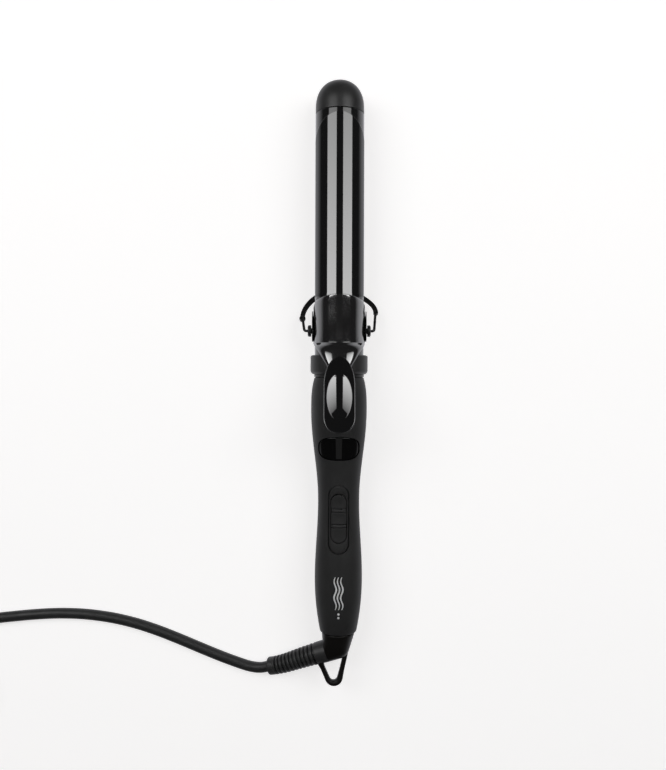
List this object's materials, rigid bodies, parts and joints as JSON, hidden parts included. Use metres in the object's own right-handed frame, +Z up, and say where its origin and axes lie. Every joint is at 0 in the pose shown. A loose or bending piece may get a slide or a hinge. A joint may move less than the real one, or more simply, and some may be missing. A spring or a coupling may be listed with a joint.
{
  "type": "curling iron",
  "caption": "Curling iron with a round heated barrel, spring clamp with thumb lever, fold-out stand, keys, display, swivel cord and flat two-pin plug.",
  "frame": {"origin": "on the table, below the middle of the iron's own box (without the cord)", "axes": "+Y along the barrel from the handle to the tip, +X to the right seen from above with the tip away, +Z up out of the thumb lever's side"},
  "size_m": [0.3859, 0.5304, 0.0587],
  "materials": {
    "soft_black": "matt soft-touch coated plastic, fine grain",
    "gloss_black_plastic": "polished black plastic",
    "satin_black_plastic": "satin moulded heat-resistant plastic",
    "gloss_ceramic_black": "glossy black ceramic coating on metal",
    "black_wire": "black coated steel",
    "cord_rubber": "soft black cord sheath",
    "light_lens": "smoked light strip, unlit",
    "steel": "plain steel",
    "brass": "plated brass",
    "nickel": "nickel-plated brass",
    "aluminium": "die-cast aluminium",
    "heater_ceramic": "white alumina ceramic",
    "board_green": "green solder mask",
    "wire_sheath": "silicone wire insulation",
    "white_plastic": "white low-friction plastic"
  },
  "bodies": {
    "handle": {"barrel_tube": "gloss_ceramic_black", "tip_cap": "satin_black_plastic", "tip_insulator": "heater_ceramic", "heat_spreader_upper": "aluminium", "heat_spreader_lower": "aluminium", "ceramic_heater": "heater_ceramic", "temperature_sensor": "wire_sheath", "thermal_fuse": "steel", "heater_leads": "wire_sheath", "neck_insulator": "satin_black_plastic", "front_collar": "soft_black", "hinge_bracket": "black_wire", "pivot_rivets": "black_wire", "handle_upper_shell": "soft_black", "handle_lower_shell": "soft_black", "shell_screws": "steel", "circuit_board": "board_green", "tact_switches": "steel", "display_module": "white_plastic", "display_lens": "gloss_black_plastic", "key_surround": "soft_black", "light_bars": "light_lens", "swivel_bushing": "white_plastic", "slip_contacts": "brass", "supply_wires": "wire_sheath", "clamp_spring": "steel", "cord_run": "cord_rubber", "cord_coil": "cord_rubber", "cord_tail": "cord_rubber", "cord_tie": "soft_black", "plug_relief": "cord_rubber", "plug_body": "cord_rubber", "pin_sleeves": "satin_black_plastic", "plug_pins": "nickel"},
    "clamp": {"clamp_plate": "gloss_ceramic_black", "clamp_lever": "gloss_ceramic_black", "thumb_rest": "gloss_black_plastic"},
    "stand": {"stand_foot": "black_wire", "stand_wire_left": "black_wire", "stand_wire_right": "black_wire"},
    "plus_button": {"plus_key": "soft_black"},
    "power_button": {"power_key": "soft_black"},
    "minus_button": {"minus_key": "soft_black"},
    "swivel": {"swivel_elbow": "gloss_black_plastic", "retaining_clip": "steel", "hang_loop": "gloss_black_plastic", "strain_relief": "cord_rubber"}
  },
  "joints": [
    {"name": "clamp_hinge", "type": "hinge", "parent": "handle", "child": "clamp", "pos_m": [0, 0.0353, 0.0187], "axis": [1, 0, 0], "range_deg": [0, 10], "stiffness_Nm_per_rad": 0.6, "springref_deg": -14.32, "deforming": ["clamp_spring"]},
    {"name": "stand_hinge", "type": "hinge", "parent": "handle", "child": "stand", "pos_m": [0, 0.0353, 0.0187], "axis": [1, 0, 0], "range_deg": [-75, 0]},
    {"name": "plus_press", "type": "slide", "parent": "handle", "child": "plus_button", "axis": [0, 0, -1], "range_m": [0, 0.0008], "stiffness_N_per_m": 1500, "springref_m": -0.0003},
    {"name": "power_press", "type": "slide", "parent": "handle", "child": "power_button", "axis": [0, 0, -1], "range_m": [0, 0.0008], "stiffness_N_per_m": 1500, "springref_m": -0.0003},
    {"name": "minus_press", "type": "slide", "parent": "handle", "child": "minus_button", "axis": [0, 0, -1], "range_m": [0, 0.0008], "stiffness_N_per_m": 1500, "springref_m": -0.0003},
    {"name": "cord_swivel", "type": "hinge", "parent": "handle", "child": "swivel", "pos_m": [0, -0.161, 0.0187], "axis": [0, 1, 0], "continuous": true}
  ]
}
